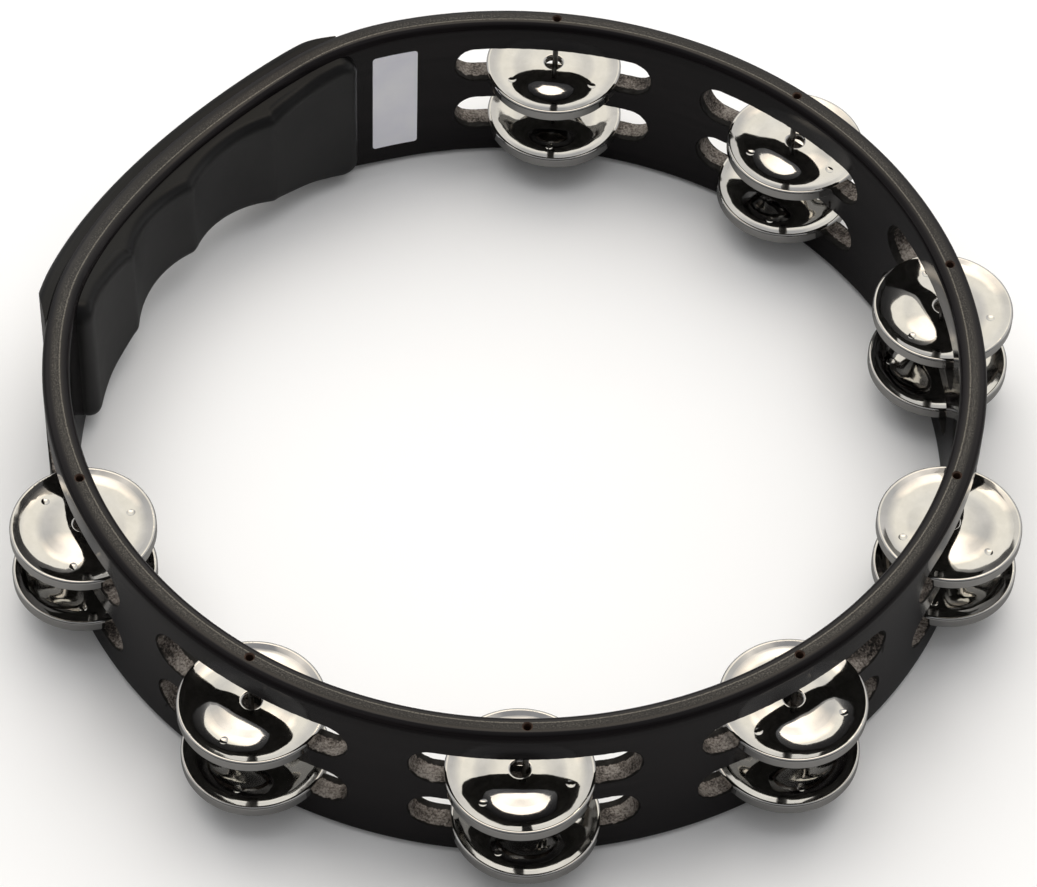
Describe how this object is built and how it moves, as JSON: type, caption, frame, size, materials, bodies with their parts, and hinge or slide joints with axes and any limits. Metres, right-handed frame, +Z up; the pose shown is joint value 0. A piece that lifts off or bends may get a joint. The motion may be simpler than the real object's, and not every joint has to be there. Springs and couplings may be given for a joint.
{
  "type": "tambourine",
  "caption": "Headless hand tambourine: black bent-wood ring with two rows of slots, loose dished metal jingles on steel pins, and a moulded finger grip.",
  "frame": {"origin": "Middle of the whole object's box, jingles and grip included, on the plane it rests on: the bottom edge of the ring lies on z = 0 and the ring's own axis is parallel to Z at x = -3.2 mm.", "axes": "+Z is up out of the ring, along its axis. The hand grip is on the -X side and +Y runs along the grip. The ring is widest over its jingles along Y."},
  "size_m": [0.2694, 0.2859, 0.0535],
  "materials": {
    "black_lacquer": "gloss black lacquer over bent wood",
    "black_plastic": "satin",
    "dark_steel": "blackened",
    "pin_steel": "plain",
    "bright_nickel": "polished nickel plate",
    "white_label": "printed film, blank"
  },
  "bodies": {
    "shell": {"wooden_shell": "black_lacquer", "inner_grip": "black_plastic", "outer_grip": "black_plastic", "grip_screws": "dark_steel", "blank_label": "white_label", "jingle_pin_1": "pin_steel", "jingle_pin_2": "pin_steel", "jingle_pin_3": "pin_steel", "jingle_pin_4": "pin_steel", "jingle_pin_5": "pin_steel", "jingle_pin_6": "pin_steel", "jingle_pin_7": "pin_steel", "jingle_pin_8": "pin_steel"},
    "jingle_1_lower": {"jingle_1_lower": "bright_nickel"},
    "jingle_1_upper": {"jingle_1_upper": "bright_nickel"},
    "jingle_2_lower": {"jingle_2_lower": "bright_nickel"},
    "jingle_2_upper": {"jingle_2_upper": "bright_nickel"},
    "jingle_3_lower": {"jingle_3_lower": "bright_nickel"},
    "jingle_3_upper": {"jingle_3_upper": "bright_nickel"},
    "jingle_4_lower": {"jingle_4_lower": "bright_nickel"},
    "jingle_4_upper": {"jingle_4_upper": "bright_nickel"},
    "jingle_5_lower": {"jingle_5_lower": "bright_nickel"},
    "jingle_5_upper": {"jingle_5_upper": "bright_nickel"},
    "jingle_6_lower": {"jingle_6_lower": "bright_nickel"},
    "jingle_6_upper": {"jingle_6_upper": "bright_nickel"},
    "jingle_7_lower": {"jingle_7_lower": "bright_nickel"},
    "jingle_7_upper": {"jingle_7_upper": "bright_nickel"},
    "jingle_8_lower": {"jingle_8_lower": "bright_nickel"},
    "jingle_8_upper": {"jingle_8_upper": "bright_nickel"}
  },
  "joints": [
    {"name": "jingle_1_lower_slide", "type": "slide", "parent": "shell", "child": "jingle_1_lower", "axis": [0, 0, 1], "range_m": [0, 0.0083]},
    {"name": "jingle_1_upper_slide", "type": "slide", "parent": "shell", "child": "jingle_1_upper", "axis": [0, 0, 1], "range_m": [0, 0.0083]},
    {"name": "jingle_2_lower_slide", "type": "slide", "parent": "shell", "child": "jingle_2_lower", "axis": [0, 0, 1], "range_m": [0, 0.0083]},
    {"name": "jingle_2_upper_slide", "type": "slide", "parent": "shell", "child": "jingle_2_upper", "axis": [0, 0, 1], "range_m": [0, 0.0083]},
    {"name": "jingle_3_lower_slide", "type": "slide", "parent": "shell", "child": "jingle_3_lower", "axis": [0, 0, 1], "range_m": [0, 0.0083]},
    {"name": "jingle_3_upper_slide", "type": "slide", "parent": "shell", "child": "jingle_3_upper", "axis": [0, 0, 1], "range_m": [0, 0.0083]},
    {"name": "jingle_4_lower_slide", "type": "slide", "parent": "shell", "child": "jingle_4_lower", "axis": [0, 0, 1], "range_m": [0, 0.0083]},
    {"name": "jingle_4_upper_slide", "type": "slide", "parent": "shell", "child": "jingle_4_upper", "axis": [0, 0, 1], "range_m": [0, 0.0083]},
    {"name": "jingle_5_lower_slide", "type": "slide", "parent": "shell", "child": "jingle_5_lower", "axis": [0, 0, 1], "range_m": [0, 0.0083]},
    {"name": "jingle_5_upper_slide", "type": "slide", "parent": "shell", "child": "jingle_5_upper", "axis": [0, 0, 1], "range_m": [0, 0.0083]},
    {"name": "jingle_6_lower_slide", "type": "slide", "parent": "shell", "child": "jingle_6_lower", "axis": [0, 0, 1], "range_m": [0, 0.0083]},
    {"name": "jingle_6_upper_slide", "type": "slide", "parent": "shell", "child": "jingle_6_upper", "axis": [0, 0, 1], "range_m": [0, 0.0083]},
    {"name": "jingle_7_lower_slide", "type": "slide", "parent": "shell", "child": "jingle_7_lower", "axis": [0, 0, 1], "range_m": [0, 0.0083]},
    {"name": "jingle_7_upper_slide", "type": "slide", "parent": "shell", "child": "jingle_7_upper", "axis": [0, 0, 1], "range_m": [0, 0.0083]},
    {"name": "jingle_8_lower_slide", "type": "slide", "parent": "shell", "child": "jingle_8_lower", "axis": [0, 0, 1], "range_m": [0, 0.0083]},
    {"name": "jingle_8_upper_slide", "type": "slide", "parent": "shell", "child": "jingle_8_upper", "axis": [0, 0, 1], "range_m": [0, 0.0083]}
  ]
}
